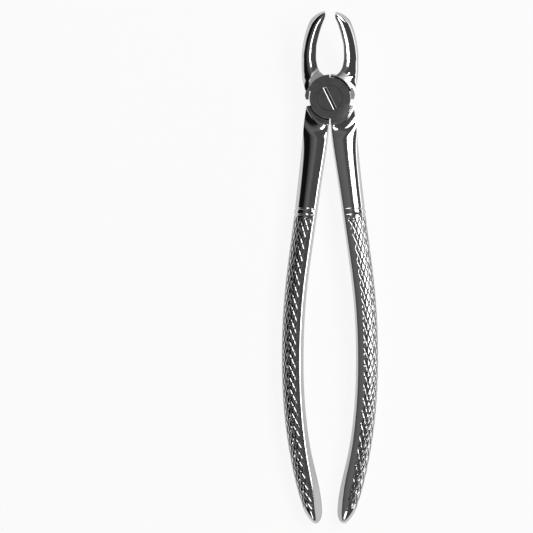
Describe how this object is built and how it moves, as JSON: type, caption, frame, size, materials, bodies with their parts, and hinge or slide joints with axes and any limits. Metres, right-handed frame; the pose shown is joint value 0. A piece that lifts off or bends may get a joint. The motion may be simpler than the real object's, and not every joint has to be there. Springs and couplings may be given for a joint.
{
  "type": "dental extraction forceps",
  "caption": "Pliers-like dental forceps with forward-bent beaks, lap joint with a slotted screw and bowed grip handles, for removing upper molars.",
  "frame": {"origin": "pivot axis at the ground rear face of the joint, on which the forceps lies", "axes": "+Z along the pivot axis out of the front face with the slotted screw, towards which the beaks bend; +Y from the joint to the beak tips; +X to the right seen from the front"},
  "size_m": [0.0336, 0.1787, 0.019],
  "materials": {
    "polished_steel": "mirror polished",
    "satin_steel": "satin ground"
  },
  "bodies": {
    "rear_half": {"rear_half": "polished_steel", "pivot_screw": "satin_steel"},
    "front_half": {"front_half": "polished_steel"}
  },
  "joints": [
    {"name": "jaw_pivot", "type": "hinge", "parent": "rear_half", "child": "front_half", "pos_m": [0, 0, 0.005], "axis": [0, 0, 1], "range_deg": [-1.8, 15]}
  ]
}
